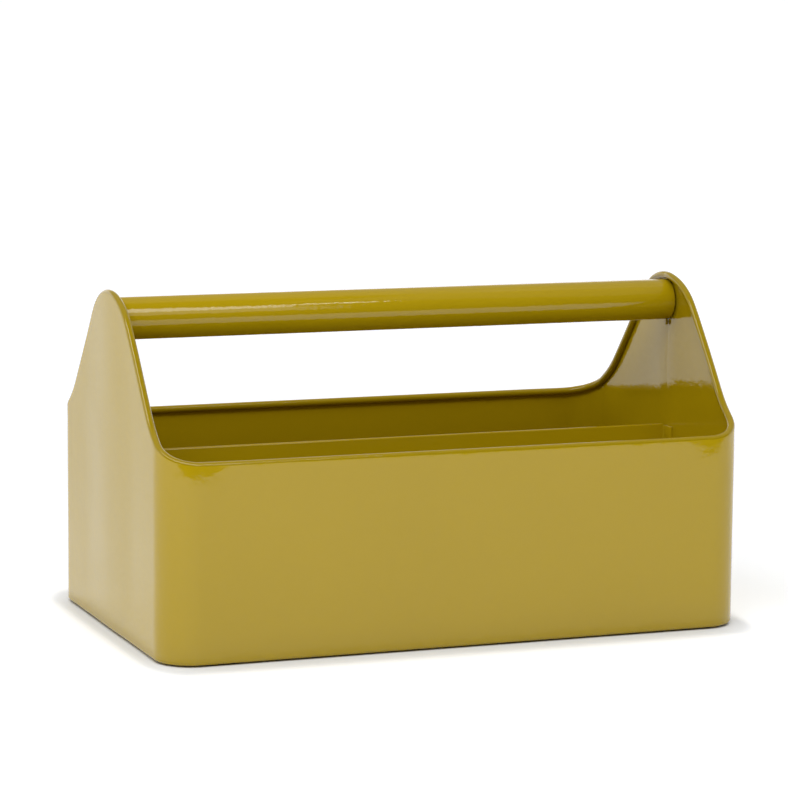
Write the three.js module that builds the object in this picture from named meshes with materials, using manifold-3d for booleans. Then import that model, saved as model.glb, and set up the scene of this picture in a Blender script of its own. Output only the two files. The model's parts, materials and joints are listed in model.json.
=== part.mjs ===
// A tool caddy in painted sheet steel: an open box whose two ends rise to round-topped gables, with a tube
// handle between the gables and a low divider along the middle.
// Millimetres, +Z up. X runs along the handle. The origin lies on the floor under the middle of the box.

import * as THREE from 'three';
import { mergeVertices } from 'three/addons/utils/BufferGeometryUtils.js';
import Module from 'manifold-3d';

// The box, outside
const LENGTH = 360;
const DEPTH = 220;
const CORNER_RADIUS = 22;
const SHEET = 0.9;
// outside radius of every sharp fold in the sheet
const FOLD_RADIUS = 2;

// Heights of the sheet's edges, measured up from the walls' lower edge
const RIM_HEIGHT = 115;
const GABLE_HEIGHT = 201;
const DIVIDER_HEIGHT = 106;
// gap between the floor and the walls' lower edge
const FOOT_RISE = 1;

// Outline of a gable, drawn on the sheet before it is bent round the corners
const APEX_RADIUS = 47;
// from the gable's centre line to the point where its straight slope would meet the level rim
const SHOULDER_REACH = 93.5;
// hollow sweep that leads the slope into the level rim
const SWEEP_RADIUS = 66;

// Bead rolled inwards along the whole upper edge
const BEAD_DIAMETER = 4.4;
// left between the bead's lip and the wall
const LIP_GAP = 0.6;

// Flange turned inwards along the lower edge, which carries the base
const FLANGE_WIDTH = 9;
// from the flange's fold to the edge of the base plate
const PLATE_CLEARANCE = 0.3;

// Divider: flanges turned to the front, top edge hemmed to the back
const DIVIDER_FOOT = 12;
const DIVIDER_TAB = 10;
// from the base plate to the lower end of the two end tabs
const TAB_LIFT = 6;
const HEM_DEPTH = 7;
const HEM_GAP = 0.3;

// Handle
const TUBE_DIAMETER = 25;
const TUBE_WALL = 1.2;
const TUBE_EDGE = 0.4;
// between the tube and the bead that passes over it
const TUBE_TO_BEAD = 0.2;
// shadow gap between each end of the tube and its gable
const TUBE_END_GAP = 0.8;

// Cup on each gable that the tube's end is pushed over
const PLUG_LENGTH = 18;
const PLUG_WALL = 1.5;
const PLUG_CLEARANCE = 0.15;

// Pads under the base
const PAD_DIAMETER = 18;
const PAD_EDGE = 0.4;
const PAD_INSET = 28;

// Facets
const APEX_STEPS = 8;
const SWEEP_STEPS = 8;
const CORNER_STEPS = 8;
const CURL_STEPS = 14;
const FOLD_STEPS = 3;
const ROUND_STEPS = 40;

const QUARTER_TURN = Math.PI / 2;
const beadRadius = BEAD_DIAMETER / 2;
const insideEnd = LENGTH / 2 - SHEET;
const plateBottom = FOOT_RISE + SHEET;
const plateTop = plateBottom + SHEET;
const handleHeight = FOOT_RISE + GABLE_HEIGHT - BEAD_DIAMETER - TUBE_TO_BEAD - TUBE_DIAMETER / 2;

// Values from first to last in equal steps, both ends included.
function steps(first, last, count) {
  return Array.from({ length: count + 1 }, (_, i) => first + ((last - first) * i) / count);
}

// The line where the bead starts to roll, on the flat sheet. It runs half a bead below the upper edge.
// u is the distance from a gable's centre line, measured along the sheet.
function rollLine() {
  const apexCentre = FOOT_RISE + GABLE_HEIGHT - APEX_RADIUS;
  const rimTop = FOOT_RISE + RIM_HEIGHT;
  const shoulderDrop = apexCentre - rimTop;
  const shoulderDistance = Math.hypot(SHOULDER_REACH, shoulderDrop);
  const slope = Math.asin(APEX_RADIUS / shoulderDistance) + Math.atan2(shoulderDrop, SHOULDER_REACH);
  const apexRadius = APEX_RADIUS - beadRadius;
  const sweepRadius = SWEEP_RADIUS + beadRadius;
  const sweepEnd = SHOULDER_REACH + SWEEP_RADIUS * Math.tan(slope / 2);
  const slopeStart = apexRadius * Math.sin(slope);
  const sweepStart = sweepEnd - sweepRadius * Math.sin(slope);

  // height of the line at u, and how steeply it falls there
  function at(u) {
    if (u <= slopeStart) {
      const fall = Math.asin(u / apexRadius);
      return { height: apexCentre + apexRadius * Math.cos(fall), fall };
    }
    if (u <= sweepStart) {
      const start = apexCentre + apexRadius * Math.cos(slope);
      return { height: start - (u - slopeStart) * Math.tan(slope), fall: slope };
    }
    const fall = Math.asin(Math.max(0, sweepEnd - u) / sweepRadius);
    return { height: rimTop + SWEEP_RADIUS - sweepRadius * Math.cos(fall), fall };
  }

  const apex = steps(0, slope, APEX_STEPS).map((fall) => apexRadius * Math.sin(fall));
  const sweep = steps(slope, 0, SWEEP_STEPS).map((fall) => sweepEnd - sweepRadius * Math.sin(fall));
  return { at, breaks: [...apex, ...sweep] };
}

// Where the flat sheet turns the corner, measured along it from a gable's centre line to mid-wall.
const bendStart = DEPTH / 2 - CORNER_RADIUS;
const bendEnd = bendStart + QUARTER_TURN * CORNER_RADIUS;
const midWall = bendEnd + LENGTH / 2 - CORNER_RADIUS;

// Plan position of a point of the front shell, from its distance u along the sheet past the left gable's
// centre line and its depth inwards from the outside face.
function wrap(u, depth) {
  if (u > midWall) {
    const mirrored = wrap(2 * midWall - u, depth);
    return { x: -mirrored.x, y: mirrored.y };
  }
  if (u <= bendStart) {
    return { x: -LENGTH / 2 + depth, y: -u };
  }
  if (u <= bendEnd) {
    const turn = (u - bendStart) / CORNER_RADIUS;
    const radius = CORNER_RADIUS - depth;
    const x = -LENGTH / 2 + CORNER_RADIUS - radius * Math.cos(turn);
    return { x, y: -DEPTH / 2 + CORNER_RADIUS - radius * Math.sin(turn) };
  }
  return { x: -LENGTH / 2 + CORNER_RADIUS + u - bendEnd, y: -DEPTH / 2 + depth };
}

// Cross-section of the sheet, from the flange's tip up the outside, round the bead and down the inside.
// depth is measured inwards; rise is measured up from the floor, or from the roll line on the bead.
function sheetSection() {
  const lipReach = (SHEET + LIP_GAP) / beadRadius;
  const turn = 2 * Math.PI - Math.acos(1 - lipReach);
  const foldCentre = FOOT_RISE + FOLD_RADIUS;

  function fold(radius, angles) {
    return angles.map((angle) => ({
      depth: FOLD_RADIUS - radius * Math.sin(angle),
      rise: foldCentre - radius * Math.cos(angle),
      onBead: false,
    }));
  }

  function curl(radius, angles) {
    return angles.map((angle) => ({
      depth: beadRadius - radius * Math.cos(angle),
      rise: radius * Math.sin(angle),
      onBead: true,
    }));
  }

  return [
    { depth: FLANGE_WIDTH, rise: FOOT_RISE, onBead: false },
    ...fold(FOLD_RADIUS, steps(0, QUARTER_TURN, FOLD_STEPS)),
    ...curl(beadRadius, steps(0, turn, CURL_STEPS)),
    ...curl(beadRadius - SHEET, steps(turn, 0, CURL_STEPS)),
    ...fold(FOLD_RADIUS - SHEET, steps(QUARTER_TURN, 0, FOLD_STEPS)),
    { depth: FLANGE_WIDTH, rise: FOOT_RISE + SHEET, onBead: false },
  ];
}

// Half of the box: from one gable's centre line, along a long wall, to the other gable's centre line.
function shellGeometry() {
  const line = rollLine();
  const bend = steps(bendStart, bendEnd, CORNER_STEPS);
  const sorted = [...line.breaks, ...bend].sort((a, b) => a - b);
  const leastStep = 0.5;
  const quarter = sorted.filter((u, i) => i === 0 || u - sorted[i - 1] > leastStep);
  const stations = [...quarter, ...quarter.map((u) => 2 * midWall - u).reverse()];
  const section = sheetSection();

  const positions = [];
  for (const station of stations) {
    const onRight = station > midWall;
    const { height, fall } = line.at(onRight ? 2 * midWall - station : station);
    const along = onRight ? -Math.sin(fall) : Math.sin(fall);
    for (const { depth, rise, onBead } of section) {
      const { x, y } = wrap(onBead ? station + rise * along : station, depth);
      positions.push(x, y, onBead ? height + rise * Math.cos(fall) : rise);
    }
  }

  const ring = section.length;
  const faces = [];
  for (let i = 0; i + 1 < stations.length; i += 1) {
    for (let j = 0; j < ring; j += 1) {
      const low = i * ring + j;
      const high = i * ring + ((j + 1) % ring);
      faces.push(low, low + ring, high + ring, low, high + ring, high);
    }
  }

  // the flat ends at the two weld seams
  const apexHeight = line.at(0).height;
  const outline = section.map((p) => new THREE.Vector2(p.depth, p.onBead ? apexHeight + p.rise : p.rise));
  const lastRing = (stations.length - 1) * ring;
  for (const [a, b, c] of THREE.ShapeUtils.triangulateShape(outline, [])) {
    const leftTurn = THREE.ShapeUtils.area([outline[a], outline[b], outline[c]]) > 0;
    const [second, third] = leftTurn ? [b, c] : [c, b];
    faces.push(a, third, second);
    faces.push(lastRing + a, lastRing + second, lastRing + third);
  }

  const geometry = new THREE.BufferGeometry();
  geometry.setAttribute('position', new THREE.Float32BufferAttribute(positions, 3));
  geometry.setIndex(faces);
  geometry.computeVertexNormals();
  return geometry;
}

// Flat plate that lies on the flanges of the two shells.
function basePlateGeometry() {
  const inset = FOLD_RADIUS + PLATE_CLEARANCE;
  const radius = CORNER_RADIUS - inset;
  const cornerX = LENGTH / 2 - CORNER_RADIUS;
  const cornerY = DEPTH / 2 - CORNER_RADIUS;
  const outline = new THREE.Shape();
  const corners = [[cornerX, cornerY], [-cornerX, cornerY], [-cornerX, -cornerY], [cornerX, -cornerY]];
  corners.forEach(([x, y], i) => {
    outline.absarc(x, y, radius, i * QUARTER_TURN, (i + 1) * QUARTER_TURN, false);
  });
  outline.closePath();
  const options = { depth: SHEET, bevelEnabled: false, curveSegments: CORNER_STEPS };
  return new THREE.ExtrudeGeometry(outline, options).translate(0, 0, plateBottom);
}

const wasm = await Module();
wasm.setup();

function toSolid(geometry) {
  const bare = geometry.clone();
  bare.deleteAttribute('normal');
  bare.deleteAttribute('uv');
  const merged = mergeVertices(bare);
  const vertProperties = new Float32Array(merged.attributes.position.array);
  const triVerts = new Uint32Array(merged.index.array);
  return new wasm.Manifold(new wasm.Mesh({ numProp: 3, vertProperties, triVerts }));
}

function toGeometry(solid) {
  const { vertProperties, triVerts } = solid.getMesh();
  const geometry = new THREE.BufferGeometry();
  geometry.setAttribute('position', new THREE.BufferAttribute(vertProperties, 3));
  geometry.setIndex(new THREE.BufferAttribute(triVerts, 1));
  geometry.computeVertexNormals();
  return geometry;
}

// The divider's web with its foot flange and its hem, as one section drawn along the box.
function dividerWeb() {
  const face = SHEET / 2;
  const top = FOOT_RISE + DIVIDER_HEIGHT;
  const foldY = face - FOLD_RADIUS;
  const foldZ = plateTop + FOLD_RADIUS;
  const hemRadius = SHEET + HEM_GAP / 2;
  const hemY = hemRadius - face;
  const hemZ = top - hemRadius;
  const hemEnd = top - HEM_DEPTH;

  const section = new THREE.Shape();
  section.moveTo(-DIVIDER_FOOT, plateTop);
  section.absarc(foldY, foldZ, FOLD_RADIUS, -QUARTER_TURN, 0, false);
  section.absarc(hemY, hemZ, HEM_GAP / 2, Math.PI, 0, true);
  section.lineTo(hemY + HEM_GAP / 2, hemEnd);
  section.lineTo(hemY + hemRadius, hemEnd);
  section.absarc(hemY, hemZ, hemRadius, 0, Math.PI, false);
  section.absarc(foldY, foldZ, FOLD_RADIUS - SHEET, 0, -QUARTER_TURN, true);
  section.lineTo(-DIVIDER_FOOT, plateTop + SHEET);
  section.closePath();

  const halfLength = insideEnd - FOLD_RADIUS;
  const options = { depth: 2 * halfLength, bevelEnabled: false, curveSegments: CORNER_STEPS };
  const alongBox = new THREE.Matrix4().makeBasis(
    new THREE.Vector3(0, 1, 0),
    new THREE.Vector3(0, 0, 1),
    new THREE.Vector3(1, 0, 0),
  );
  return new THREE.ExtrudeGeometry(section, options).applyMatrix4(alongBox).translate(-halfLength, 0, 0);
}

// The same web seen from above, with the two end tabs that are welded to the gables.
function dividerTabs() {
  const face = SHEET / 2;
  const foldX = insideEnd - FOLD_RADIUS;
  const foldY = face - FOLD_RADIUS;
  const inner = FOLD_RADIUS - SHEET;

  const plan = new THREE.Shape();
  plan.moveTo(-insideEnd, -DIVIDER_TAB);
  plan.lineTo(-insideEnd + SHEET, -DIVIDER_TAB);
  plan.absarc(-foldX, foldY, inner, Math.PI, QUARTER_TURN, true);
  plan.absarc(foldX, foldY, inner, QUARTER_TURN, 0, true);
  plan.lineTo(insideEnd - SHEET, -DIVIDER_TAB);
  plan.lineTo(insideEnd, -DIVIDER_TAB);
  plan.absarc(foldX, foldY, FOLD_RADIUS, 0, QUARTER_TURN, false);
  plan.absarc(-foldX, foldY, FOLD_RADIUS, QUARTER_TURN, Math.PI, false);
  plan.closePath();

  const bottom = plateTop + TAB_LIFT;
  const top = FOOT_RISE + DIVIDER_HEIGHT - SHEET - HEM_GAP / 2;
  const options = { depth: top - bottom, bevelEnabled: false, curveSegments: CORNER_STEPS };
  return new THREE.ExtrudeGeometry(plan, options).translate(0, 0, bottom);
}

function dividerGeometry() {
  return toGeometry(toSolid(dividerWeb()).add(toSolid(dividerTabs())));
}

// A turned piece, from its profile as [radius, distance along the axis] pairs, with its axis along +Z.
function turned(profile) {
  const points = profile.map(([radius, along]) => new THREE.Vector2(radius, along));
  return new THREE.LatheGeometry(points, ROUND_STEPS).rotateX(QUARTER_TURN);
}

const tubeRadius = TUBE_DIAMETER / 2;
const tubeBore = tubeRadius - TUBE_WALL;

function tubeGeometry() {
  const half = insideEnd - TUBE_END_GAP;
  return turned([
    [tubeBore, -half],
    [tubeRadius - TUBE_EDGE, -half],
    [tubeRadius, -half + TUBE_EDGE],
    [tubeRadius, half - TUBE_EDGE],
    [tubeRadius - TUBE_EDGE, half],
    [tubeBore, half],
    [tubeBore, -half],
  ]).rotateY(QUARTER_TURN);
}

// A cup with its closed end at the origin and its mouth towards +X.
function plugGeometry() {
  const radius = tubeBore - PLUG_CLEARANCE;
  return turned([
    [0, 0],
    [radius, 0],
    [radius, PLUG_LENGTH],
    [radius - PLUG_WALL, PLUG_LENGTH],
    [radius - PLUG_WALL, PLUG_WALL],
    [0, PLUG_WALL],
  ]).rotateY(QUARTER_TURN);
}

function padGeometry() {
  const radius = PAD_DIAMETER / 2;
  return turned([
    [0, 0],
    [radius - PAD_EDGE, 0],
    [radius, PAD_EDGE],
    [radius, plateBottom],
    [0, plateBottom],
  ]);
}

const paint = () => new THREE.MeshStandardMaterial({ color: 0x9e8406, roughness: 0.2, metalness: 0 });
const steel = () => new THREE.MeshStandardMaterial({ color: 0x8c8c88, roughness: 0.45, metalness: 1 });
const rubber = () => new THREE.MeshStandardMaterial({ color: 0x2b2a27, roughness: 0.85, metalness: 0 });

const caddy = new THREE.Group();

function addPiece(name, geometry, material) {
  const mesh = new THREE.Mesh(geometry, material);
  mesh.name = name;
  caddy.add(mesh);
  return mesh;
}

const shell = shellGeometry();
addPiece('front_shell', shell, paint());
addPiece('back_shell', shell, paint()).rotation.z = Math.PI;
addPiece('base_plate', basePlateGeometry(), paint());
addPiece('divider', dividerGeometry(), paint());
addPiece('handle_tube', tubeGeometry(), paint()).position.z = handleHeight;

const plug = plugGeometry();
addPiece('handle_plug_left', plug, steel()).position.set(-insideEnd, 0, handleHeight);
const rightPlug = addPiece('handle_plug_right', plug, steel());
rightPlug.position.set(insideEnd, 0, handleHeight);
rightPlug.rotation.z = Math.PI;

const pad = padGeometry();
for (const [end, signX] of [['left', -1], ['right', 1]]) {
  for (const [side, signY] of [['front', -1], ['back', 1]]) {
    const x = signX * (LENGTH / 2 - PAD_INSET);
    const y = signY * (DEPTH / 2 - PAD_INSET);
    addPiece(`foot_${side}_${end}`, pad, rubber()).position.set(x, y, 0);
  }
}

export default caddy;
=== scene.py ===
# %% [markdown]
# # A painted tool caddy
#
# The caddy is an open box of thin steel sheet. Its two ends rise to round-topped gables, a tube
# between the gables is the handle, and a low divider runs along the middle. Everything was welded
# first and painted afterwards, so one glossy coat covers all of it.
#
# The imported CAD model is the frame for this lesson. It is loaded first and never changed. Every
# piece below is modelled again at the same place with finer curves, and then stands for its CAD
# node.

# %% Load the frame
import json
import math

import bmesh
import bpy
from mathutils import Matrix, Vector

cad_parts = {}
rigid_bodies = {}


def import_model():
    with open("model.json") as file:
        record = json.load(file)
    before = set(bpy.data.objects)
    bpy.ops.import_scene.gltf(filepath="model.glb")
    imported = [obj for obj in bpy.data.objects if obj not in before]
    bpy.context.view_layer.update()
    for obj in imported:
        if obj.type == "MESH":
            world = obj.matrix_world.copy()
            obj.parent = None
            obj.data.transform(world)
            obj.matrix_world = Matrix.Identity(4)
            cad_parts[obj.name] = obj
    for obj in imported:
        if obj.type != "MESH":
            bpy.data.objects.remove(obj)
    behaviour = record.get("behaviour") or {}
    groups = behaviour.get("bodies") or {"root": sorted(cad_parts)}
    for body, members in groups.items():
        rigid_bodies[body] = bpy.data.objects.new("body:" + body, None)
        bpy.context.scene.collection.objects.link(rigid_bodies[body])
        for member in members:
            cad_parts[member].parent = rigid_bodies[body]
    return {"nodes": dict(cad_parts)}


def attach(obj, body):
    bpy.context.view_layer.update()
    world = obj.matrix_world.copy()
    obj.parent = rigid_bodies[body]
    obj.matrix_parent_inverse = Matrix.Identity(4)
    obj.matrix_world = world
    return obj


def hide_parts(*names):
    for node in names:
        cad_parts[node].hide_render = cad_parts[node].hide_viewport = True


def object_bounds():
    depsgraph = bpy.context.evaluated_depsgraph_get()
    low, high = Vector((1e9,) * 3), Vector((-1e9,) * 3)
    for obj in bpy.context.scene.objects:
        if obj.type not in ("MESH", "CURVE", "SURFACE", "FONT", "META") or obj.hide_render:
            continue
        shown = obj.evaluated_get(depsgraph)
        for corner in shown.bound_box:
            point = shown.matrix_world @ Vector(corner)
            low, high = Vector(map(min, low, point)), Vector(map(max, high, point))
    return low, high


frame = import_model()
cad_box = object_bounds()
print("CAD nodes:", ", ".join(sorted(frame["nodes"])))

# %% [markdown]
# ## Camera
#
# The camera comes first, because everything is compared through it. A camera could be aimed by eye,
# but a small error in its angle looks like an error in the object. So these angles and distances
# come from a fit of the caddy's straight edges and arcs, and the camera's three axes are written
# out from them.

# %% Place the camera
MM = 0.001
PICTURE_PIXELS = 788
FOCAL_PIXELS = 3293.3
SENSOR_WIDTH = 36.0
CAMERA_TURN = math.radians(-21.09)
CAMERA_RISE = math.radians(8.09)
CAMERA_ROLL = math.radians(0.48)
CAMERA_DISTANCE = 1982.7 * MM
AIM_SIDE = -1.85 * MM
AIM_HEIGHT = 133.1 * MM

level_side = Vector((math.cos(CAMERA_TURN), math.sin(CAMERA_TURN), 0))
level_back = Vector((math.sin(CAMERA_TURN), -math.cos(CAMERA_TURN), 0))
to_camera = level_back * math.cos(CAMERA_RISE) + Vector((0, 0, math.sin(CAMERA_RISE)))
level_up = to_camera.cross(level_side)
camera_side = level_side * math.cos(CAMERA_ROLL) + level_up * math.sin(CAMERA_ROLL)
camera_up = level_up * math.cos(CAMERA_ROLL) - level_side * math.sin(CAMERA_ROLL)
aim = Vector((0, 0, AIM_HEIGHT)) + level_side * AIM_SIDE

bpy.ops.object.camera_add()
camera = bpy.context.object
turned_axes = Matrix((camera_side, camera_up, to_camera)).transposed().to_4x4()
camera.matrix_world = Matrix.Translation(aim + to_camera * CAMERA_DISTANCE) @ turned_axes
camera.data.sensor_width = SENSOR_WIDTH
camera.data.lens = SENSOR_WIDTH * FOCAL_PIXELS / PICTURE_PIXELS
bpy.context.scene.camera = camera
print("camera at", [round(c, 3) for c in camera.location], "lens", round(camera.data.lens, 1), "mm")

# %% [markdown]
# ## Shader sums
#
# A finish is mostly arithmetic: a noise times a strength plus an offset. Wiring that by hand takes
# a node and two links for each sign. This class wraps one socket, so that a sum in Python adds the
# Math nodes by itself, and its node method makes any other node from its settings and its sockets.
# A few helpers on top of it give noise, a colour between two others and a soft step.

# %% A socket that can be used in sums
class Shade:
    """One output in a node tree."""

    def __init__(self, tree, socket=None):
        self.tree = tree
        self.socket = socket

    def node(self, kind, settings=None, sockets=None, output=0):
        """Add a node, set it up, fill or link its inputs, and give one of its outputs."""
        made = self.tree.nodes.new(kind)
        for name, value in (settings or {}).items():
            setattr(made, name, value)
        for name, value in (sockets or {}).items():
            if isinstance(value, Shade):
                self.tree.links.new(value.socket, made.inputs[name])
            else:
                made.inputs[name].default_value = value
        if not made.outputs:
            return None
        return Shade(self.tree, made.outputs[output])

    def sum_with(self, operation, first, second):
        return self.node("ShaderNodeMath", {"operation": operation}, {0: first, 1: second})

    def __add__(self, other):
        return self.sum_with("ADD", self, other)

    def __radd__(self, other):
        return self.sum_with("ADD", other, self)

    def __mul__(self, other):
        return self.sum_with("MULTIPLY", self, other)

    def __rmul__(self, other):
        return self.sum_with("MULTIPLY", other, self)


print("sockets can be added and multiplied")

# %% Helpers for finishes
def new_finish(name):
    """An empty material and the start of its node tree."""
    finish = bpy.data.materials.new(name)
    finish.use_nodes = True
    finish.node_tree.nodes.clear()
    return finish, Shade(finish.node_tree)


def object_place(tree):
    """The place on an object, in its own metres."""
    return tree.node("ShaderNodeTexCoord", output="Object")


def noise(tree, scale, detail=2.0):
    """Noise in the object's own metres. A scale of 100 gives spots about a centimetre across."""
    sockets = {"Vector": object_place(tree), "Scale": scale, "Detail": detail}
    return tree.node("ShaderNodeTexNoise", None, sockets)


def tint(tree, amount, low, high):
    """A colour between two colours. A Mix node has its colours on inputs 6 and 7 and output 2."""
    low, high = (c if isinstance(c, Shade) else (*c, 1) for c in (low, high))
    sockets = {"Factor": amount, 6: low, 7: high}
    return tree.node("ShaderNodeMix", {"data_type": "RGBA"}, sockets, output=2)


def fade(tree, value, start, end):
    """Go smoothly from 0 at one value to 1 at another."""
    sockets = {"Value": value, "From Min": start, "From Max": end}
    return tree.node("ShaderNodeMapRange", {"interpolation_type": "SMOOTHSTEP"}, sockets)


def surface(tree, sockets):
    """End the tree in a Principled surface."""
    shader = tree.node("ShaderNodeBsdfPrincipled", None, sockets)
    tree.node("ShaderNodeOutputMaterial", None, {"Surface": shader})


print("helpers for finishes ready")

# %% [markdown]
# ## Floor
#
# The caddy stands on a plain white floor that runs on past the picture's edges, so no horizon
# shows. Lights alone leave such a floor grey at its far end, so a part of its white is painted
# light, a glow of its own. Round the caddy the glow paints shade: it is left out at the foot, which
# paints the dark slit and the short soft shadow that the real one has there, and a ring of extra
# glow just beyond, painted light, keeps that shadow short. The distance from the foot comes from
# the floor's own coordinates, by the rule for a rounded box.

# %% Floor
FLOOR_SIZE = 60.0

bpy.ops.object.select_all(action="DESELECT")
bpy.ops.mesh.primitive_plane_add(size=FLOOR_SIZE)
floor = bpy.context.object
floor.name = "floor"
print("floor", FLOOR_SIZE, "m across")

# %% Distance from the foot of the caddy
FOOT_CORNER = 22 * MM
# Distances at the left and right sides count more, so the painted shadow is narrower there.
SIDE_SQUEEZE = 1.9


def vector_sum(tree, operation, *vectors, output=0):
    """One Vector Math node."""
    sockets = dict(enumerate(vectors))
    return tree.node("ShaderNodeVectorMath", {"operation": operation}, sockets, output)


floor_finish, tree = new_finish("floor_white")
straight = (cad_box[1][0] - FOOT_CORNER / SIDE_SQUEEZE, cad_box[1][1] - FOOT_CORNER, 0)
beyond = vector_sum(tree, "SUBTRACT", vector_sum(tree, "ABSOLUTE", object_place(tree)), straight)
beyond = vector_sum(tree, "MAXIMUM", beyond, (0, 0, 0))
beyond = vector_sum(tree, "MULTIPLY", beyond, (SIDE_SQUEEZE, 1, 1))
distance = vector_sum(tree, "LENGTH", beyond, output="Value")
print("the foot is straight up to", [round(c / MM, 1) for c in straight[:2]], "mm from the middle")

# %% Floor finish
DARK_UP_TO = FOOT_CORNER + 6 * MM
LIT_FROM = FOOT_CORNER + 27 * MM
EDGE_GLOW = 0.2
EDGE_GLOW_FULL = FOOT_CORNER + 30 * MM
EDGE_GLOW_END = FOOT_CORNER + 130 * MM
NEAR_GLOW = 0.6
NEAR_END = 0.4
FAR_START = 2.0
FLOOR_DULL = (0.84, 0.855, 0.88)
FLOOR_WHITE = (0.865, 0.88, 0.905)

# Painted shadow: no glow close to the foot, then the glow fades in further out.
beyond_painted_shadow = fade(tree, distance, DARK_UP_TO, LIT_FROM)
# Painted light: a ring of extra glow beside the foot keeps the painted shadow short.
painted_edge_light = fade(tree, distance, EDGE_GLOW_END, EDGE_GLOW_FULL) * EDGE_GLOW
far_off = fade(tree, distance, NEAR_END, FAR_START) * (1 - NEAR_GLOW)
floor_glow = beyond_painted_shadow * (NEAR_GLOW + painted_edge_light + far_off)
surface(tree, {
    "Base Color": tint(tree, noise(tree, scale=3.0), FLOOR_DULL, FLOOR_WHITE),
    "Roughness": 0.6,
    "Specular IOR Level": 0.2,
    "Emission Color": tint(tree, floor_glow, (0, 0, 0), (1, 1, 1)),
    "Emission Strength": 0.41,
})
floor.data.materials.append(floor_finish)
print("made", floor_finish.name)

# %% [markdown]
# ## Lights
#
# A glossy paint shows its surroundings, so most of its look is decided here. A wide softbox stands
# high in front, well to the left, and draws the bright line along the handle. A narrow strip beside
# it carries the line on to the right, thin and broken. A second softbox farther out, a small one at
# the left and a weak panel at the right fill in the sides. A very soft light overhead brightens the
# floor and the inside of the box. It is kept out of mirror reflections, because the paint shows
# nothing bright straight above.

# %% Softboxes
def add_panel(name, shape, place, width, height, radiance, aim_height=0.12):
    """A softbox that faces the caddy, with the brightness that its face shows in a mirror."""
    bpy.ops.object.light_add(type="AREA", location=place)
    panel = bpy.context.object
    panel.name = name
    facing = Vector((0, 0, aim_height)) - panel.location
    panel.rotation_euler = facing.to_track_quat("-Z", "Y").to_euler()
    panel.data.shape = shape
    panel.data.size = width
    panel.data.size_y = height
    panel.data.energy = radiance * math.pi * width * height
    print(name, "at", [round(c, 2) for c in panel.location], "m")


add_panel("key_softbox", "ELLIPSE", (-0.5, -1.1, 1.45), width=2.0, height=0.65, radiance=3.8)
add_panel("bright_strip", "RECTANGLE", (0.42, -1.1, 1.45), width=0.3, height=0.13, radiance=7.0)
add_panel("far_softbox", "RECTANGLE", (0.05, -2.2, 1.35), width=1.2, height=0.8, radiance=1.2)
add_panel("left_softbox", "ELLIPSE", (-1.15, -0.27, 1.39), width=0.62, height=0.36, radiance=5.0)
add_panel(
    "right_panel", "RECTANGLE", (1.2, -0.55, 1.7), width=1.5, height=1.4, radiance=0.2,
    aim_height=0.15,
)

# %% Overhead light
OVERHEAD_HEIGHT = 3.0
OVERHEAD_SPREAD = math.radians(100)
OVERHEAD_STRENGTH = 1.2

bpy.ops.object.light_add(type="SUN", location=(0, 0, OVERHEAD_HEIGHT))
overhead = bpy.context.object
overhead.name = "overhead_light"
overhead.data.energy = OVERHEAD_STRENGTH
overhead.data.angle = OVERHEAD_SPREAD
overhead.visible_glossy = False
print(overhead.name, "spread over", round(math.degrees(OVERHEAD_SPREAD)), "degrees")

# %% [markdown]
# ## A dark flag and the surroundings
#
# Photographers put a black board, a flag, where a gloss needs something dark to show. This one
# stands low in front and is seen only in the paint. It makes the deep stripe under the handle's
# bright line and the two dark patches under the rim beside the corners. The surroundings are white
# behind the caddy, which gives the pale veil on its left face, and nearly dark in front.

# %% Dark flag in front
FLAG_WIDTH = 8.0
FLAG_HEIGHT = 0.6
FLAG_PLACE = -1.5
FLAG_DARK = (0.02, 0.02, 0.02)
FLAG_LIGHT = (0.03, 0.03, 0.03)
UPRIGHT = (math.pi / 2, 0, 0)

bpy.ops.object.select_all(action="DESELECT")
bpy.ops.mesh.primitive_plane_add(
    size=1, location=(0, FLAG_PLACE, FLAG_HEIGHT / 2), rotation=UPRIGHT,
)
flag = bpy.context.object
flag.name = "front_flag"
flag.scale = (FLAG_WIDTH, FLAG_HEIGHT, 1)
flag.visible_camera = False
flag.visible_diffuse = False
flag.visible_shadow = False
flag_finish, tree = new_finish("flag_black")
surface(tree, {
    "Base Color": tint(tree, noise(tree, scale=40.0), FLAG_DARK, FLAG_LIGHT),
    "Roughness": 0.9,
    "Specular IOR Level": 0.0,
})
flag.data.materials.append(flag_finish)
print("flag", FLAG_HEIGHT, "m high, seen only in the paint")

# %% Surroundings
FRONT_GLOW = 0.055
BACK_GLOW = 0.33
LOW_BACK_GLOW = 1.0
BACK_FADE = (-0.15, 0.15)
LOW_FADE = (0.45, 0.3)

world = bpy.data.worlds.new("studio")
world.use_nodes = True
world.node_tree.nodes.clear()
bpy.context.scene.world = world
tree = Shade(world.node_tree)
direction = tree.node("ShaderNodeTexCoord", output="Generated")
behind = tree.node("ShaderNodeSeparateXYZ", None, {0: direction}, output="Y")
above = tree.node("ShaderNodeSeparateXYZ", None, {0: direction}, output="Z")
back_glow = BACK_GLOW + fade(tree, above, *LOW_FADE) * LOW_BACK_GLOW
sky_glow = FRONT_GLOW + fade(tree, behind, *BACK_FADE) * back_glow
background = tree.node("ShaderNodeBackground", None, {"Color": (1, 1, 1, 1), "Strength": sky_glow})
tree.node("ShaderNodeOutputWorld", None, {"Surface": background})
bpy.context.scene.view_settings.view_transform = "Standard"
print("surroundings bright behind, dark in front")
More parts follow.
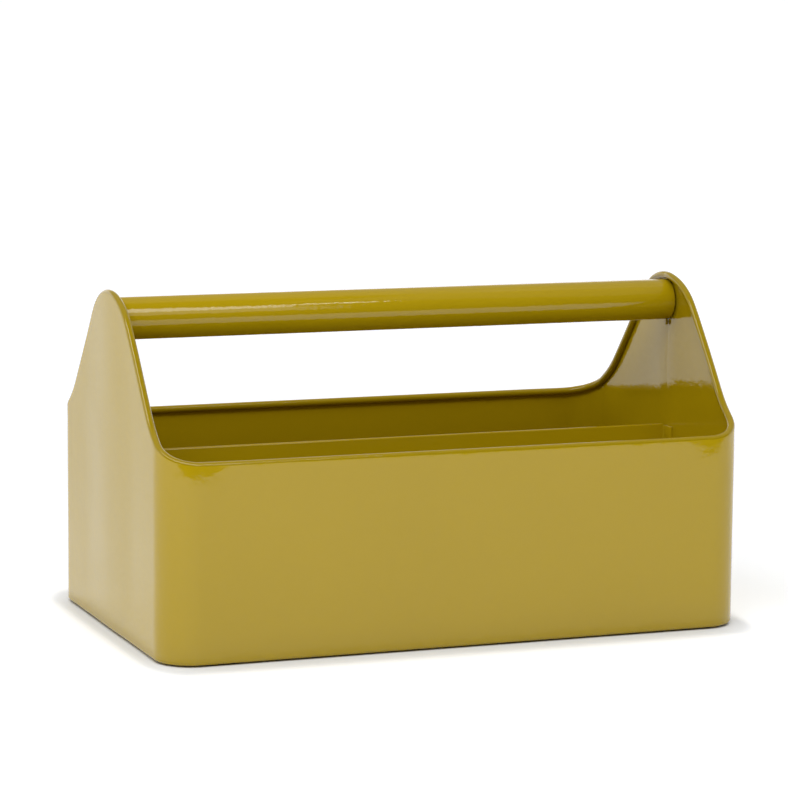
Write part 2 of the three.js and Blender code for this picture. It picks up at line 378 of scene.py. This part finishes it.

# %% [markdown]
# ## Paint
#
# The enamel is a glossy yellow olive. Sprayed paint is never a perfect mirror: it dries with a fine
# orange peel, and the sheet under it is not quite flat, so reflections get ragged edges. Both are
# bumps here, a noise of about 5 mm with finer detail and a wide one of about 40 mm. The colour and
# the gloss vary a little as well. The tight roll of the rim gets painted shade, a darker colour, so
# the body gives each vertex a "roll" value, which is 1 on the bead, and the paint reads it.

# %% Paint finish
OLIVE_DEEP = (0.376, 0.256, 0.0021)
OLIVE_BRIGHT = (0.406, 0.277, 0.0025)
# Painted shade: the darker colour of the rolled bead.
OLIVE_IN_ROLL_SHADE = (0.31, 0.212, 0.0018)
SPECKLE_SHARE = 0.2
PEEL_DEPTH = 2.2
WAVE_DEPTH = 6.0
RELIEF_UNIT = 0.06 * MM
PAINT_ROUGHNESS = 0.05
CLOUDY_ROUGHNESS = 0.02


def bumps(tree, height, distance):
    """Tilt the shading as if the surface rose by a height, counted in units of a distance."""
    sockets = {"Height": height, "Distance": distance, "Strength": 1.0}
    return tree.node("ShaderNodeBump", None, sockets)


paint, tree = new_finish("olive_enamel")
cloudy = noise(tree, scale=9.0)
speckle = noise(tree, scale=1500.0, detail=1.0)
peel = noise(tree, scale=210.0, detail=3.0)
sheet_wave = noise(tree, scale=26.0, detail=0.0)
roll_shade_mask = tree.node("ShaderNodeAttribute", {"attribute_name": "roll"}, output="Fac")
olive = tint(tree, cloudy + speckle * SPECKLE_SHARE, OLIVE_DEEP, OLIVE_BRIGHT)
surface(tree, {
    # The roll value darkens the bead's colour here, as painted shade.
    "Base Color": tint(tree, roll_shade_mask, olive, OLIVE_IN_ROLL_SHADE),
    "Roughness": PAINT_ROUGHNESS + cloudy * CLOUDY_ROUGHNESS,
    "IOR": 1.5,
    "Normal": bumps(tree, peel * PEEL_DEPTH + sheet_wave * WAVE_DEPTH, RELIEF_UNIT),
})
print("made", paint.name)

# %% [markdown]
# ## Steel and rubber
#
# Two finishes are hardly seen. The cups inside the ends of the handle are bare pressed steel with
# drawing lines along the axis. The pads under the base are matt black rubber.

# %% Steel finish
STEEL_DARK = (0.2, 0.2, 0.19)
STEEL_LIGHT = (0.32, 0.32, 0.31)
DRAWN_OUT = (0.02, 1, 1)
LINE_DEPTH = 0.02 * MM
STEEL_ROUGHNESS = 0.35
LINE_ROUGHNESS = 0.2

steel, tree = new_finish("drawn_steel")
stretched = tree.node("ShaderNodeMapping", None, {"Vector": object_place(tree), "Scale": DRAWN_OUT})
lines = tree.node("ShaderNodeTexNoise", None, {"Vector": stretched, "Scale": 2500.0})
surface(tree, {
    "Base Color": tint(tree, lines, STEEL_DARK, STEEL_LIGHT),
    "Metallic": 1.0,
    "Roughness": STEEL_ROUGHNESS + lines * LINE_ROUGHNESS,
    "Normal": bumps(tree, lines, LINE_DEPTH),
})
print("made", steel.name)

# %% Rubber finish
RUBBER_DARK = (0.02, 0.019, 0.017)
RUBBER_LIGHT = (0.03, 0.029, 0.026)
GRAIN_DEPTH = 0.06 * MM
RUBBER_ROUGHNESS = 0.75
GRAIN_ROUGHNESS = 0.15

rubber, tree = new_finish("pad_rubber")
grain = noise(tree, scale=2200.0)
surface(tree, {
    "Base Color": tint(tree, grain, RUBBER_DARK, RUBBER_LIGHT),
    "Roughness": RUBBER_ROUGHNESS + grain * GRAIN_ROUGHNESS,
    "Normal": bumps(tree, grain, GRAIN_DEPTH),
})
print("made", rubber.name)

# %% [markdown]
# ## The body: drawing the sheet
#
# The body is two equal pressings that meet at a weld in the middle of each gable. One way to model
# them is a box with booleans, but on the real part the outline was cut in the flat sheet and the
# corners were bent afterwards, so the hollow sweep beside a gable runs on round the corner. To get
# that, the outline is kept as a rule for the flat sheet: at a distance along the sheet from a
# gable's middle, how high is the edge?

# %% Sizes of the sheet
LENGTH = 360 * MM
DEPTH = 220 * MM
CORNER_RADIUS = 22 * MM
SHEET = 0.9 * MM
FOLD_RADIUS = 2 * MM
FOOT_RISE = 1 * MM
RIM_TOP = FOOT_RISE + 115 * MM
GABLE_TOP = FOOT_RISE + 201 * MM
APEX_RADIUS = 47 * MM
SHOULDER_REACH = 93.5 * MM
SWEEP_RADIUS = 66 * MM
BEAD_RADIUS = 2.2 * MM
LIP_GAP = 0.6 * MM
FLANGE_WIDTH = 9 * MM

bend_start = DEPTH / 2 - CORNER_RADIUS
bend_end = bend_start + CORNER_RADIUS * math.pi / 2
wall_start = LENGTH / 2 - CORNER_RADIUS
apex_centre = GABLE_TOP - APEX_RADIUS
shoulder_drop = apex_centre - RIM_TOP
slope = math.asin(APEX_RADIUS / math.hypot(SHOULDER_REACH, shoulder_drop))
slope += math.atan2(shoulder_drop, SHOULDER_REACH)
apex_bend = APEX_RADIUS - BEAD_RADIUS
sweep_bend = SWEEP_RADIUS + BEAD_RADIUS
slope_start = apex_bend * math.sin(slope)
sweep_end = SHOULDER_REACH + SWEEP_RADIUS * math.tan(slope / 2)
sweep_start = sweep_end - sweep_bend * math.sin(slope)
print("gable slope", round(math.degrees(slope), 1), "degrees")
print("rim level from", round(sweep_end / MM, 1), "mm beside the middle of a gable")

# %% The outline of the flat sheet
def roll_line(along):
    """Height of the line where the bead starts to roll, and how steeply it falls there."""
    if along <= slope_start:
        fall = math.asin(along / apex_bend)
        return apex_centre + apex_bend * math.cos(fall), fall
    if along <= sweep_start:
        top = apex_centre + apex_bend * math.cos(slope)
        return top - (along - slope_start) * math.tan(slope), slope
    fall = math.asin(max(0.0, sweep_end - along) / sweep_bend)
    return RIM_TOP + SWEEP_RADIUS - sweep_bend * math.cos(fall), fall


def plan_place(along, depth):
    """Where a point of the bent sheet lies in plan, measured from the box's middle lines."""
    if along <= bend_start:
        return LENGTH / 2 - depth, along
    if along <= bend_end:
        turn = (along - bend_start) / CORNER_RADIUS
        reach = CORNER_RADIUS - depth
        return wall_start + reach * math.cos(turn), bend_start + reach * math.sin(turn)
    return wall_start + bend_end - along, DEPTH / 2 - depth


def distance_along(x, y):
    """The distance along the sheet of a point on the outside of the box."""
    if abs(y) <= bend_start:
        return abs(y)
    if abs(x) <= wall_start:
        return bend_end + wall_start - abs(x)
    return bend_start + CORNER_RADIUS * math.atan2(abs(y) - bend_start, abs(x) - wall_start)


print("the bead starts", round(roll_line(0)[0] / MM, 1), "mm up in the middle of a gable")

# %% [markdown]
# ## The body: from a plane to a wall
#
# The wall starts as a plane of the box's size. A vertex bevel rounds its four corners, the face is
# deleted and its outline stays. The gable edges are cut every 2 mm, so that their arcs come out
# round. Each vertex then remembers its distance along the sheet in an attribute, which every
# extrusion copies to the new ones.

# %% Helpers for edit mode
def start_afresh():
    """Leave edit mode with nothing selected, so that the next operator finds only the new piece."""
    if bpy.context.object and bpy.context.object.mode != "OBJECT":
        bpy.ops.object.mode_set(mode="OBJECT")
    bpy.ops.object.select_all(action="DESELECT")


def edit_mesh():
    """The mesh that is open in edit mode."""
    return bmesh.from_edit_mesh(bpy.context.edit_object.data)


def pick(kind, test):
    """In edit mode, select only the vertices, edges or faces that pass a test."""
    bpy.ops.mesh.select_mode(type=kind)
    bpy.ops.mesh.select_all(action="DESELECT")
    mesh = edit_mesh()
    for item in {"VERT": mesh.verts, "EDGE": mesh.edges, "FACE": mesh.faces}[kind]:
        item.select_set(test(item))
    mesh.select_flush_mode()
    bmesh.update_edit_mesh(bpy.context.edit_object.data)


def middle(edge):
    """The point halfway along an edge."""
    return (edge.verts[0].co + edge.verts[1].co) / 2


PARALLEL = 0.9999


def runs_along(edge, axis):
    """Does an edge lie along an axis?"""
    run = edge.verts[1].co - edge.verts[0].co
    return abs(run[axis]) > PARALLEL * run.length


print("helpers ready")

# %% Outline of the box
CORNER_CUTS = 20
GABLE_CUTS = 87
WALL_CUTS = 39

start_afresh()
fold_top = FOOT_RISE + FOLD_RADIUS
bpy.ops.mesh.primitive_plane_add(size=1, location=(0, 0, 0))
body = bpy.context.object
bpy.ops.object.mode_set(mode="EDIT")
bpy.ops.transform.resize(value=(LENGTH, DEPTH, 1))
bpy.ops.transform.translate(value=(0, 0, fold_top))
bpy.ops.mesh.bevel(offset=CORNER_RADIUS, segments=CORNER_CUTS, affect="VERTICES", profile=0.5)
bpy.ops.mesh.select_all(action="SELECT")
bpy.ops.mesh.delete(type="ONLY_FACE")
pick("EDGE", lambda edge: runs_along(edge, 1))
bpy.ops.mesh.subdivide(number_cuts=GABLE_CUTS)
pick("EDGE", lambda edge: runs_along(edge, 0))
bpy.ops.mesh.subdivide(number_cuts=WALL_CUTS)

mesh = edit_mesh()
mesh.verts.layers.float.new("roll")
along_layer = mesh.verts.layers.float.new("along")
for vert in mesh.verts:
    vert[along_layer] = distance_along(vert.co.x, vert.co.y)
bmesh.update_edit_mesh(body.data)
print("outline of", len(mesh.verts), "points")

# %% Raise the wall
def extrude_to(place, roll=0.0):
    """Extrude the selected loop and put each new vertex at its place: along, depth, height."""
    bpy.ops.mesh.extrude_edges_move()
    mesh = edit_mesh()
    layers = mesh.verts.layers.float
    for vert in mesh.verts:
        if vert.select:
            vert[layers["roll"]] = roll
            along, depth, height = place(vert[layers["along"]])
            x, y = plan_place(along, depth)
            vert.co = (math.copysign(x, vert.co.x), math.copysign(y, vert.co.y), height)
    bmesh.update_edit_mesh(bpy.context.edit_object.data)


WALL_ROWS = 9
BAND_HEIGHT = 26 * MM
BAND_ROWS = 12


def on_top_edge(edge):
    """Is an edge part of the sheet's upper border?"""
    return edge.is_boundary and middle(edge).z > fold_top + SHEET


def below_top_edge(edge):
    """Does an edge run down from the sheet's upper border?"""
    upper = max(edge.verts, key=lambda vert: vert.co.z)
    return upper.is_boundary and not edge.is_boundary and upper.co.z > fold_top + SHEET


pick("EDGE", lambda edge: True)
extrude_to(lambda along: (along, 0, roll_line(along)[0] - BAND_HEIGHT))
pick("EDGE", below_top_edge)
bpy.ops.mesh.subdivide_edgering(number_cuts=WALL_ROWS)
pick("EDGE", on_top_edge)
extrude_to(lambda along: (along, 0, roll_line(along)[0]))
pick("EDGE", below_top_edge)
bpy.ops.mesh.subdivide_edgering(number_cuts=BAND_ROWS)
print("wall of", len(edit_mesh().faces), "faces")

# %% [markdown]
# ## The body: rolling the bead and turning the foot
#
# The rolled bead is what shows skill on this part: it runs level along the walls, sweeps up the
# gables and round their tops, and turns the corners on the way. A curve with a round bevel could be
# laid on the edge, but it would be a wire, not a roll. Here the sheet's own edge is extruded in
# small turns, each one measured across the edge, so the bead follows every slope. The foot is
# turned in the same way.

# %% Roll the bead
CURL_STEPS = 30
curl = 2 * math.pi - math.acos(1 - (SHEET + LIP_GAP) / BEAD_RADIUS)


def on_bead(turn):
    """Where the bead's outside is after a turn of the roll."""
    depth = BEAD_RADIUS * (1 - math.cos(turn))
    rise = BEAD_RADIUS * math.sin(turn)

    def place(along):
        height, fall = roll_line(along)
        return along + rise * math.sin(fall), depth, height + rise * math.cos(fall)

    return place


pick("EDGE", on_top_edge)
for step in range(1, CURL_STEPS + 1):
    extrude_to(on_bead(curl * step / CURL_STEPS), roll=1.0)
print("bead rolled through", round(math.degrees(curl)), "degrees")

# %% Turn the foot
FOLD_STEPS = 8


def on_fold(turn):
    """Where the foot's outside is after a turn of the fold."""
    depth = FOLD_RADIUS * (1 - math.cos(turn))
    height = fold_top - FOLD_RADIUS * math.sin(turn)
    return lambda along: (along, depth, height)


pick("EDGE", lambda edge: edge.is_boundary and middle(edge).z < fold_top + SHEET)
for step in range(1, FOLD_STEPS + 1):
    extrude_to(on_fold(math.pi / 2 * step / FOLD_STEPS))
extrude_to(lambda along: (along, FLANGE_WIDTH, FOOT_RISE))
print("foot turned in by", round(FLANGE_WIDTH / MM), "mm")

# %% [markdown]
# ## The body: weld seams and thickness
#
# Thin sheet never stays quite flat. The left gable swells softly over its weld. On the right one
# each half swells a little by itself, and the weld between them stands out as a narrow ridge. Round
# each corner the roll has drawn the rim in. All this is about a millimetre, and only the
# reflections show it. Proportional moves give these forms, each with the falloff that fits it. Then
# the body is parted at the seams, and Solidify gives both pressings the thickness of the sheet,
# inwards.

# %% Swell the gables
SOFT_SEAM = 1.1 * MM
SOFT_REACH = 52 * MM
SOFT_FOOT = 25 * MM
RIDGE = 0.6 * MM
RIDGE_REACH = 13 * MM
RIDGE_FOOT = 118 * MM
BULGE = 1.4 * MM
BULGE_MIDDLE = 45 * MM
BULGE_BAND = 1.01 * MM
BULGE_FOOT = 130 * MM
TINY = 0.01 * MM


def pull(shift, falloff, reach):
    """Move the selection, and let the sheet around it follow."""
    bpy.ops.transform.translate(
        value=shift, use_proportional_edit=True,
        proportional_edit_falloff=falloff, proportional_size=reach,
    )


def on_seam(end, foot):
    """A test for the vertices of one gable's seam, above a foot."""
    return lambda vert: vert.co.x * end > 0 and abs(vert.co.y) < TINY and vert.co.z > foot


def beside_seam(end, front):
    """A test for a band of vertices in the middle of one half of a gable."""
    def test(vert):
        on_gable = vert.co.x * end > LENGTH / 2 - BEAD_RADIUS and vert.co.z > BULGE_FOOT
        return on_gable and abs(vert.co.y * front - BULGE_MIDDLE) < BULGE_BAND

    return test


pick("VERT", on_seam(-1, SOFT_FOOT))
pull((-SOFT_SEAM, 0, 0), "SMOOTH", SOFT_REACH)
for front in (-1, 1):
    pick("VERT", beside_seam(1, front))
    pull((BULGE, 0, 0), "INVERSE_SQUARE", BULGE_MIDDLE)
pick("VERT", on_seam(1, RIDGE_FOOT))
pull((RIDGE, 0, 0), "SHARP", RIDGE_REACH)
print("left seam out by", SOFT_SEAM / MM, "mm, right gable by", BULGE / MM, "mm")

# %% Draw in the corners
DRAW_IN = 0.8 * MM
DRAW_REACH = 20 * MM
DRAW_START = -16 * MM
DRAW_END = 12 * MM


def beside_corner(end, front):
    """A test for the vertices at the top of the wall, round one corner."""
    layer = edit_mesh().verts.layers.float["along"]
    rim_start = RIM_TOP - BEAD_RADIUS - TINY

    def test(vert):
        if vert.co.x * end < 0 or vert.co.y * front < 0 or vert.co.z < rim_start:
            return False
        return DRAW_START < vert[layer] - bend_end < DRAW_END

    return test


for end in (-1, 1):
    for front in (-1, 1):
        pick("VERT", beside_corner(end, front))
        pull((0, -front * DRAW_IN, 0), "SHARP", DRAW_REACH)
print("corners in by", DRAW_IN / MM, "mm")

# %% Turn the faces outwards
bpy.ops.mesh.select_all(action="SELECT")
bpy.ops.mesh.normals_make_consistent(inside=False)
wall_face = max(edit_mesh().faces, key=lambda face: face.calc_area())
if wall_face.normal.dot(wall_face.calc_center_median()) < 0:
    bpy.ops.mesh.flip_normals()
print("wall faces point to", [round(c) for c in wall_face.normal])

# %% Helpers that finish a piece
def choose(piece):
    """Leave edit mode and make one piece the only one that is selected."""
    start_afresh()
    piece.select_set(True)
    bpy.context.view_layer.objects.active = piece


def apply_modifier(piece, kind, **settings):
    """Add a modifier to a piece and apply it at once."""
    choose(piece)
    modifier = piece.modifiers.new(kind.lower(), kind)
    for name, value in settings.items():
        setattr(modifier, name, value)
    bpy.ops.object.modifier_apply(modifier=modifier.name)


def box_in_mm(piece):
    """The lowest and the highest corner of a piece."""
    corners = [vert.co for vert in piece.data.vertices]
    low = [round(min(c[axis] for c in corners) / MM, 2) for axis in range(3)]
    high = [round(max(c[axis] for c in corners) / MM, 2) for axis in range(3)]
    return low, high


def finish_piece(piece, name, nodes, material, smooth_below):
    """Shade a piece, give it its finish and let it stand for its CAD nodes."""
    choose(piece)
    piece.name = name
    piece.data.name = name
    bpy.ops.object.shade_smooth_by_angle(angle=math.radians(smooth_below))
    piece.data.materials.clear()
    piece.data.materials.append(material)
    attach(piece, "root")
    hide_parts(*nodes)
    piece.data.calc_loop_triangles()
    print(name, len(piece.data.loop_triangles), "triangles, box", *box_in_mm(piece), "mm")


print("finishing helpers ready")

# %% Part the two pressings
SMOOTH_CURVED = 40
SMOOTH_FLAT = 30

pick("FACE", lambda face: face.calc_center_median().y > 0)
bpy.ops.mesh.separate(type="SELECTED")
start_afresh()
back_pressing = next(piece for piece in bpy.data.objects if piece.name.startswith(body.name + "."))
for pressing, name in ((body, "front_shell"), (back_pressing, "back_shell")):
    pressing.data.attributes.remove(pressing.data.attributes["along"])
    apply_modifier(pressing, "SOLIDIFY", thickness=SHEET, offset=-1, use_even_offset=True)
    finish_piece(pressing, name + "_pressing", [name], paint, SMOOTH_CURVED)

# %% [markdown]
# ## Base plate
#
# The base is a flat plate that lies on the turned-in flanges and is spot welded to them. It is a
# plane with its corners rounded by a vertex bevel, thickened upwards, with its cut edge broken by a
# small bevel.

# %% Base plate
PLATE_CLEARANCE = 0.3 * MM
PLATE_EDGE = 0.2 * MM
SHARP_EDGE = math.radians(60)


def break_edges(piece, width, segments):
    """Bevel all sharp edges of a piece."""
    apply_modifier(
        piece, "BEVEL", width=width, segments=segments,
        limit_method="ANGLE", angle_limit=SHARP_EDGE,
    )


start_afresh()
plate_inset = FOLD_RADIUS + PLATE_CLEARANCE
plate_bottom = FOOT_RISE + SHEET
bpy.ops.mesh.primitive_plane_add(size=1)
base = bpy.context.object
bpy.ops.object.mode_set(mode="EDIT")
bpy.ops.transform.resize(value=(LENGTH - 2 * plate_inset, DEPTH - 2 * plate_inset, 1))
bpy.ops.transform.translate(value=(0, 0, plate_bottom))
bpy.ops.mesh.bevel(offset=CORNER_RADIUS - plate_inset, segments=CORNER_CUTS, affect="VERTICES")
apply_modifier(base, "SOLIDIFY", thickness=SHEET, offset=1)
break_edges(base, PLATE_EDGE, segments=2)
finish_piece(base, "base_plate_sheet", ["base_plate"], paint, SMOOTH_FLAT)

# %% [markdown]
# ## Divider
#
# The divider is one sheet with four folds: a foot that is welded to the base, a closed hem along
# the top so that no cut edge shows, and a tab at each end that is welded to the gable. A folded
# sheet is easiest to model at the middle of its thickness. Spin turns an edge round a fold's
# centre, just as a folding bar does, and Solidify then adds half of the thickness on each side.

# %% Web of the divider
DIVIDER_TOP = FOOT_RISE + 106 * MM
DIVIDER_FOOT = 12 * MM
DIVIDER_TAB = 10 * MM
TAB_LIFT = 6 * MM
HEM_DEPTH = 7 * MM
HEM_GAP = 0.3 * MM

plate_top = plate_bottom + SHEET
inside_end = LENGTH / 2 - SHEET
fold_middle = FOLD_RADIUS - SHEET / 2
hem_middle = (SHEET + HEM_GAP) / 2
web_half = inside_end - FOLD_RADIUS
web_low = plate_top + FOLD_RADIUS
web_high = DIVIDER_TOP - SHEET - HEM_GAP / 2

start_afresh()
bpy.ops.mesh.primitive_plane_add(size=1, rotation=UPRIGHT)
bpy.ops.object.transform_apply(rotation=True)
divider = bpy.context.object
bpy.ops.object.mode_set(mode="EDIT")
bpy.ops.transform.resize(value=(2 * web_half, 1, web_high - web_low))
bpy.ops.transform.translate(value=(0, 0, (web_high + web_low) / 2))
tab_low = plate_top + TAB_LIFT
bpy.ops.mesh.bisect(plane_co=(0, 0, tab_low), plane_no=(0, 0, 1))
print("web", round(2 * web_half / MM, 1), "by", round((web_high - web_low) / MM, 1), "mm")

# %% Fold the foot, the hem and the tabs
QUARTER_STEPS = 6
ALONG_X = (1, 0, 0)
ALONG_Z = (0, 0, 1)


def fold_edge(centre, axis, quarters):
    """Turn the selected edge by right-handed quarter turns. Spin counts the other way."""
    steps = QUARTER_STEPS * abs(quarters)
    bpy.ops.mesh.spin(steps=steps, angle=-quarters * math.pi / 2, center=centre, axis=axis)


def draw_out(x, y, z):
    """Extrude the selected edge straight on."""
    bpy.ops.mesh.extrude_edges_move(TRANSFORM_OT_translate={"value": (x, y, z)})


def web_edge(end):
    """A test for the edge of the web that a tab grows from."""
    def test(edge):
        x, y, z = middle(edge)
        at_end = abs(x - end * web_half) < TINY and abs(y) < TINY
        return at_end and tab_low < z < web_high and runs_along(edge, 2)

    return test


pick("EDGE", lambda edge: abs(middle(edge).z - web_low) < TINY)
fold_edge((0, -fold_middle, web_low), ALONG_X, -1)
draw_out(0, fold_middle - DIVIDER_FOOT, 0)
pick("EDGE", lambda edge: abs(middle(edge).z - web_high) < TINY)
fold_edge((0, hem_middle, web_high), ALONG_X, -2)
draw_out(0, 0, DIVIDER_TOP - HEM_DEPTH - web_high)
for end in (-1, 1):
    pick("EDGE", web_edge(end))
    fold_edge((end * web_half, -fold_middle, 0), ALONG_Z, -end)
    draw_out(0, fold_middle - DIVIDER_TAB, 0)
print("folded sheet of", len(edit_mesh().faces), "faces")

# %% Thickness of the divider
DIVIDER_EDGE = 0.15 * MM

bpy.ops.mesh.select_all(action="SELECT")
bpy.ops.mesh.remove_doubles(threshold=TINY)
bpy.ops.mesh.normals_make_consistent(inside=False)
apply_modifier(divider, "SOLIDIFY", thickness=SHEET, offset=0, use_even_offset=True)
break_edges(divider, DIVIDER_EDGE, segments=2)
finish_piece(divider, "divider_sheet", ["divider"], paint, SMOOTH_FLAT)

# %% [markdown]
# ## Handle
#
# The handle is a 25 mm tube whose ends are pushed over cups on the gables. A cylinder without ends
# is the tube's outside. Solidify gives the wall, and a small bevel rounds the cut ends. At its
# right end the paint has run together underneath and dried as a drip: a small flattened sphere
# drawn up into the tube.

# %% Handle tube
TUBE_RADIUS = 12.5 * MM
TUBE_WALL = 1.2 * MM
TUBE_EDGE = 0.4 * MM
TUBE_END_GAP = 0.8 * MM
TUBE_TO_BEAD = 0.2 * MM
ROUND_CUTS = 96
LENGTHWISE = (0, math.pi / 2, 0)

handle_height = GABLE_TOP - 2 * BEAD_RADIUS - TUBE_TO_BEAD - TUBE_RADIUS
tube_length = 2 * (inside_end - TUBE_END_GAP)
start_afresh()
bpy.ops.mesh.primitive_cylinder_add(
    vertices=ROUND_CUTS, radius=TUBE_RADIUS, depth=tube_length, end_fill_type="NOTHING",
    location=(0, 0, handle_height), rotation=LENGTHWISE,
)
bpy.ops.object.transform_apply(location=True, rotation=True)
tube = bpy.context.object
apply_modifier(tube, "SOLIDIFY", thickness=TUBE_WALL, offset=-1, use_even_offset=True)
break_edges(tube, TUBE_EDGE, segments=3)
print("tube", round(tube_length / MM, 1), "mm long")

# %% A drip under the handle
DRIP_RADIUS = 1.2 * MM
DRIP_SPREAD = (0.8, 1.3, 1)
DRIP_PLACE = 178.6 * MM
DRIP_HANG = 3.6 * MM
DRIP_CROWN = 1.95 * DRIP_RADIUS
DRIP_PULL = 1.2 * DRIP_RADIUS
DRIP_PULL_REACH = 2 * DRIP_RADIUS

start_afresh()
drip_low = handle_height - TUBE_RADIUS - DRIP_HANG
bpy.ops.mesh.primitive_uv_sphere_add(
    segments=24, ring_count=16, radius=DRIP_RADIUS,
    location=(DRIP_PLACE, 0, drip_low + DRIP_RADIUS),
)
bpy.ops.object.transform_apply(location=True)
drip = bpy.context.object
bpy.ops.object.mode_set(mode="EDIT")
bpy.ops.transform.resize(value=DRIP_SPREAD)
pick("VERT", lambda vert: vert.co.z > drip_low + DRIP_CROWN)
pull((0, 0, DRIP_PULL), "SMOOTH", DRIP_PULL_REACH)
choose(tube)
drip.select_set(True)
bpy.ops.object.join()
finish_piece(tube, "handle_tube_painted", ["handle_tube"], paint, SMOOTH_FLAT)

# %% [markdown]
# ## Cups
#
# Each end of the handle sits on a pressed steel cup that is welded to the gable, so no bolt shows
# outside. The right cup is a cylinder that loses its inner face and gets a wall by Solidify. The
# left cup is the same pressing, so it is a copy, turned half round about the middle of the box.

# %% Right cup
CUP_LENGTH = 18 * MM
CUP_WALL = 1.5 * MM
CUP_CLEARANCE = 0.15 * MM
CUP_EDGE = 0.5 * MM
FACING = 0.9

cup_radius = TUBE_RADIUS - TUBE_WALL - CUP_CLEARANCE
start_afresh()
bpy.ops.mesh.primitive_cylinder_add(
    vertices=ROUND_CUTS, radius=cup_radius, depth=CUP_LENGTH,
    location=(inside_end - CUP_LENGTH / 2, 0, handle_height), rotation=LENGTHWISE,
)
bpy.ops.object.transform_apply(location=True, rotation=True)
right_cup = bpy.context.object
bpy.ops.object.mode_set(mode="EDIT")
pick("FACE", lambda face: face.normal.x < -FACING)
bpy.ops.mesh.delete(type="FACE")
apply_modifier(right_cup, "SOLIDIFY", thickness=CUP_WALL, offset=-1, use_even_offset=True)
break_edges(right_cup, CUP_EDGE, segments=3)
print("cup", round(2 * cup_radius / MM, 1), "mm wide and", round(CUP_LENGTH / MM), "mm long")

# %% Copy for the left cup
def copy_piece(piece, shift=(0, 0, 0), turn=0.0):
    """A copy with a mesh of its own, moved or turned about the middle of the box."""
    choose(piece)
    bpy.ops.object.duplicate(linked=False)
    copy = bpy.context.object
    copy.location = shift
    copy.rotation_euler.z = turn
    bpy.ops.object.transform_apply(location=True, rotation=True)
    return copy


cups = {"left": copy_piece(right_cup, turn=math.pi), "right": right_cup}
for side, cup in cups.items():
    nodes = [f"handle_plug_{side}"]
    finish_piece(cup, f"handle_cup_{side}", nodes, steel, SMOOTH_FLAT)

# %% [markdown]
# ## Pads
#
# Four thin rubber pads keep the paint off the table. Each is a short cylinder with a rounded lower
# edge and a shallow dish underneath, which an inset of its lower face and a small move make. One
# pad is modelled, and the other three are copies of it.

# %% First pad
PAD_RADIUS = 9 * MM
PAD_INSET = 28 * MM
PAD_EDGE = 0.4 * MM
PAD_RIM = 2 * MM
PAD_DISH = 0.3 * MM

pad_side = LENGTH / 2 - PAD_INSET
pad_front = DEPTH / 2 - PAD_INSET
start_afresh()
bpy.ops.mesh.primitive_cylinder_add(
    vertices=ROUND_CUTS, radius=PAD_RADIUS, depth=plate_bottom,
    location=(-pad_side, -pad_front, plate_bottom / 2),
)
bpy.ops.object.transform_apply(location=True)
first_pad = bpy.context.object
bpy.ops.object.mode_set(mode="EDIT")
pick("FACE", lambda face: face.normal.z < -FACING)
bpy.ops.mesh.inset(thickness=PAD_RIM)
bpy.ops.mesh.inset(thickness=PAD_RIM / 2)
bpy.ops.transform.translate(value=(0, 0, PAD_DISH))
pick("EDGE", lambda edge: middle(edge).z < TINY and edge.calc_face_angle(0) > SHARP_EDGE)
bpy.ops.mesh.bevel(offset=PAD_EDGE, segments=4)
print("first pad", 2 * PAD_RADIUS / MM, "mm wide")

# %% Copies of the pad
pads = {
    "front_left": first_pad,
    "back_left": copy_piece(first_pad, (0, 2 * pad_front, 0)),
    "front_right": copy_piece(first_pad, (2 * pad_side, 0, 0)),
    "back_right": copy_piece(first_pad, (2 * pad_side, 2 * pad_front, 0)),
}
for corner, pad in pads.items():
    finish_piece(pad, f"pad_{corner}", [f"foot_{corner}"], rubber, SMOOTH_CURVED)
